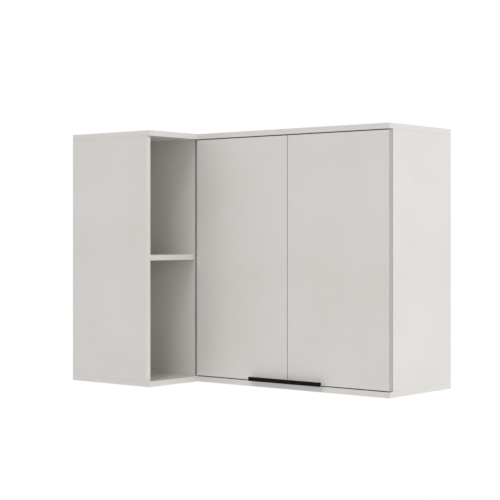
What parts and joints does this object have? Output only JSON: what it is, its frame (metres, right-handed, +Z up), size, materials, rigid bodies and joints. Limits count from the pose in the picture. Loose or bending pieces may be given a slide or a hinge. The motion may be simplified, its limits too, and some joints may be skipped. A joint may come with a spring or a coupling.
{
  "type": "corner wall cabinet",
  "caption": "L-shaped kitchen wall cabinet with hinged doors on a main box and an open end wing with niches.",
  "frame": {"origin": "under the middle of the cabinet's overall box, on the underside of the bottom board", "axes": "+X to the right along the wall, +Y to the wall, +Z up"},
  "size_m": [0.95, 0.494, 0.7],
  "materials": {
    "board_white": "white melamine, fine matt",
    "door_white": "white melamine, fine matt",
    "edge_band_grey": "light grey edge band",
    "hardboard_white": "white faced hardboard",
    "handle_black": "matt black",
    "screw_zinc": "zinc plated",
    "hinge_nickel": "nickel plated"
  },
  "bodies": {
    "cabinet": {"back_panel": "hardboard_white", "bottom_panel": "board_white", "carcass_screws": "screw_zinc", "hinge_stile": "board_white", "left_arm_pins": "hinge_nickel", "left_hinge_arms": "hinge_nickel", "left_hinge_plates": "hinge_nickel", "left_plate_screws": "screw_zinc", "left_side_panel": "board_white", "lower_hanging_rail": "board_white", "main_shelf": "board_white", "niche_back_panel": "board_white", "niche_shelf": "board_white", "right_arm_pins": "hinge_nickel", "right_hinge_arms": "hinge_nickel", "right_hinge_plates": "hinge_nickel", "right_plate_screws": "screw_zinc", "right_side_panel": "board_white", "shelf_pins": "screw_zinc", "top_panel": "board_white", "upper_hanging_rail": "board_white", "wing_front_panel": "board_white"},
    "left_door": {"left_door_panel": "door_white", "left_door_edge_band": "edge_band_grey", "left_handle": "handle_black", "left_handle_screws": "screw_zinc", "left_hinge_cups": "hinge_nickel", "left_cup_pins": "hinge_nickel", "left_cup_screws": "screw_zinc"},
    "left_link_pair": {"left_outer_links": "hinge_nickel"},
    "left_inner_link_pair": {"left_inner_links": "hinge_nickel"},
    "right_door": {"right_door_panel": "door_white", "right_door_edge_band": "edge_band_grey", "right_handle": "handle_black", "right_handle_screws": "screw_zinc", "right_hinge_cups": "hinge_nickel", "right_cup_pins": "hinge_nickel", "right_cup_screws": "screw_zinc"},
    "right_link_pair": {"right_outer_links": "hinge_nickel"},
    "right_inner_link_pair": {"right_inner_links": "hinge_nickel"}
  },
  "joints": [
    {"name": "left_link_swing", "type": "hinge", "parent": "cabinet", "child": "left_link_pair", "pos_m": [-0.1415, -0.0015, 0.35], "axis": [0, 0, 1], "range_deg": [0, 35]},
    {"name": "left_door_swing", "type": "hinge", "parent": "left_link_pair", "child": "left_door", "pos_m": [-0.1665, -0.039, 0.35], "axis": [0, 0, -1], "range_deg": [0, 125], "stiffness_Nm_per_rad": 0.3, "springref_deg": -8.59},
    {"name": "left_inner_link_swing", "type": "hinge", "parent": "cabinet", "child": "left_inner_link_pair", "pos_m": [-0.1375, -0.025, 0.35], "axis": [0, 0, 1], "range_deg": [0, 47.38]},
    {"name": "right_link_swing", "type": "hinge", "parent": "cabinet", "child": "right_link_pair", "pos_m": [0.4385, -0.0015, 0.35], "axis": [0, 0, -1], "range_deg": [0, 36.4]},
    {"name": "right_door_swing", "type": "hinge", "parent": "right_link_pair", "child": "right_door", "pos_m": [0.4635, -0.039, 0.35], "axis": [0, 0, 1], "range_deg": [0, 130], "stiffness_Nm_per_rad": 0.3, "springref_deg": -8.59},
    {"name": "right_inner_link_swing", "type": "hinge", "parent": "cabinet", "child": "right_inner_link_pair", "pos_m": [0.4345, -0.025, 0.35], "axis": [0, 0, -1], "range_deg": [0, 49.27]}
  ],
  "couplings": [
    {"joint": "left_link_swing", "follows": "left_door_swing", "ratio": 0.28},
    {"joint": "left_inner_link_swing", "follows": "left_door_swing", "ratio": 0.379},
    {"joint": "right_link_swing", "follows": "right_door_swing", "ratio": 0.28},
    {"joint": "right_inner_link_swing", "follows": "right_door_swing", "ratio": 0.379}
  ]
}
